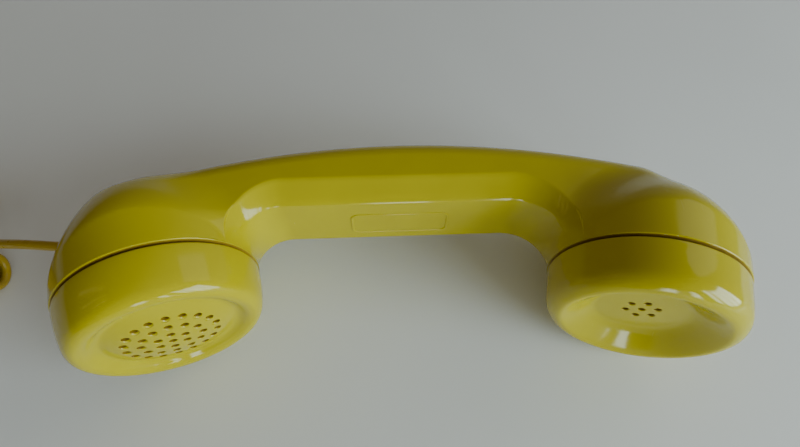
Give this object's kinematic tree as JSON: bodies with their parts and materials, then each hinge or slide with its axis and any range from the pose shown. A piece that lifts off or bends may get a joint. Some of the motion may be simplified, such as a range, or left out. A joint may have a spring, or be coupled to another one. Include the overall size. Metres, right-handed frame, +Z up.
{
  "type": "telephone handset with cord",
  "caption": "Yellow telephone handset lying on its side, with screw-on caps over its transmitter and receiver and a retractile cord ending in a strain relief with bare wires.",
  "frame": {"origin": "middle of the bottom of the handset's box, without its cord, on the floor that it lies on", "axes": "+X along the handset from transmitter to receiver, +Y out of the back of the grip, +Z up; the caps face -Y"},
  "size_m": [0.3815, 0.1007, 0.0589],
  "materials": {
    "yellow_moulding": "glossy moulded thermoplastic, fine handling scratches",
    "yellow_vinyl": "satin vinyl cord covering",
    "black_moulding": "matt moulded plastic",
    "brown_phenolic": "brown phenolic laminate and mouldings",
    "steel": "plated steel",
    "aluminium": "spun and pressed aluminium",
    "brass": "rolled brass",
    "gold_plate": "gold-plated electrode",
    "magnet_iron": "sintered magnet",
    "copper_wire": "enamelled copper winding",
    "carbon": "carbon granules",
    "membrane": "oiled silk membrane",
    "cotton": "cotton",
    "wire_red": "red wire insulation",
    "wire_black": "black wire insulation",
    "wire_white": "white wire insulation",
    "wire_green": "green wire insulation"
  },
  "bodies": {
    "handle": {"handle": "yellow_moulding", "cord_lead": "yellow_vinyl", "cord_coil": "yellow_vinyl", "cord_tail": "yellow_vinyl", "transmitter_cup": "black_moulding", "cord_relief": "black_moulding", "contact_spring_base_centre": "brass", "contact_spring_base_rim": "brass", "cup_screw_centre": "steel", "cup_screw_rim": "steel", "cup_lug_centre": "steel", "cup_lug_rim": "steel", "cord_stay": "steel", "cotton_damping_plug": "cotton", "conductor_red": "wire_red", "conductor_black": "wire_black", "conductor_white_1": "wire_white", "conductor_white_2": "wire_white", "tail_wire_red": "wire_red", "tail_wire_green": "wire_green", "tail_wire_black": "wire_black", "tail_wire_white": "wire_white", "tail_lug_red": "steel", "tail_lug_green": "steel", "tail_lug_black": "steel", "tail_lug_white": "steel"},
    "transmitter_unit": {"transmitter_housing": "aluminium", "transmitter_front_grid": "aluminium", "moisture_membrane": "membrane", "transmitter_diaphragm": "aluminium", "moving_electrode": "gold_plate", "carbon_chamber": "brown_phenolic", "fixed_electrode": "gold_plate", "carbon_granules": "carbon", "contact_rivet": "brass", "insulating_bush": "brown_phenolic"},
    "transmitter_cap": {"transmitter_cap": "yellow_moulding"},
    "contact_leaf_centre": {"contact_spring_leaf_centre": "brass"},
    "contact_leaf_rim": {"contact_spring_leaf_rim": "brass"},
    "receiver_unit": {"receiver_frame": "aluminium", "terminal_board": "brown_phenolic", "inner_pole_piece": "steel", "receiver_coil": "copper_wire", "ring_magnet": "magnet_iron", "outer_pole_ring": "steel", "armature_seat": "brass", "ring_armature": "steel", "receiver_diaphragm": "brown_phenolic", "receiver_front_grid": "aluminium", "acoustic_cloth": "cotton", "terminal_screw_1": "steel", "terminal_screw_2": "steel", "receiver_lug_1": "steel", "receiver_lug_2": "steel", "click_suppressor": "black_moulding"},
    "receiver_cap": {"receiver_cap": "yellow_moulding"}
  },
  "joints": [
    {"name": "transmitter_unit_slide", "type": "slide", "parent": "handle", "child": "transmitter_unit", "axis": [0.3469, -0.9379, 0], "range_m": [0, 0.005]},
    {"name": "transmitter_cap_turn", "type": "hinge", "parent": "transmitter_unit", "child": "transmitter_cap", "pos_m": [-0.07576, -0.01266, 0.02945], "axis": [0.3469, -0.9379, 0], "range_deg": [0, 720]},
    {"name": "contact_leaf_centre_bend", "type": "hinge", "parent": "handle", "child": "contact_leaf_centre", "pos_m": [-0.09579, -0.00653, 0.02945], "axis": [0, 0, -1], "range_deg": [0, 10]},
    {"name": "contact_leaf_rim_bend", "type": "hinge", "parent": "handle", "child": "contact_leaf_rim", "pos_m": [-0.06456, 0.00502, 0.02945], "axis": [0, 0, 1], "range_deg": [0, 10]},
    {"name": "receiver_unit_slide", "type": "slide", "parent": "handle", "child": "receiver_unit", "axis": [-0.299, -0.9542, 0], "range_m": [0, 0.005]},
    {"name": "receiver_cap_turn", "type": "hinge", "parent": "receiver_unit", "child": "receiver_cap", "pos_m": [0.07663, -0.01447, 0.02945], "axis": [-0.299, -0.9542, 0], "range_deg": [0, 720]}
  ],
  "couplings": [
    {"joint": "transmitter_unit_slide", "follows": "transmitter_cap_turn", "m_per_rad": 0.00039788},
    {"joint": "contact_leaf_centre_bend", "follows": "transmitter_cap_turn", "ratio": 0.013889},
    {"joint": "contact_leaf_rim_bend", "follows": "transmitter_cap_turn", "ratio": 0.013889},
    {"joint": "receiver_unit_slide", "follows": "receiver_cap_turn", "m_per_rad": 0.00039788}
  ]
}
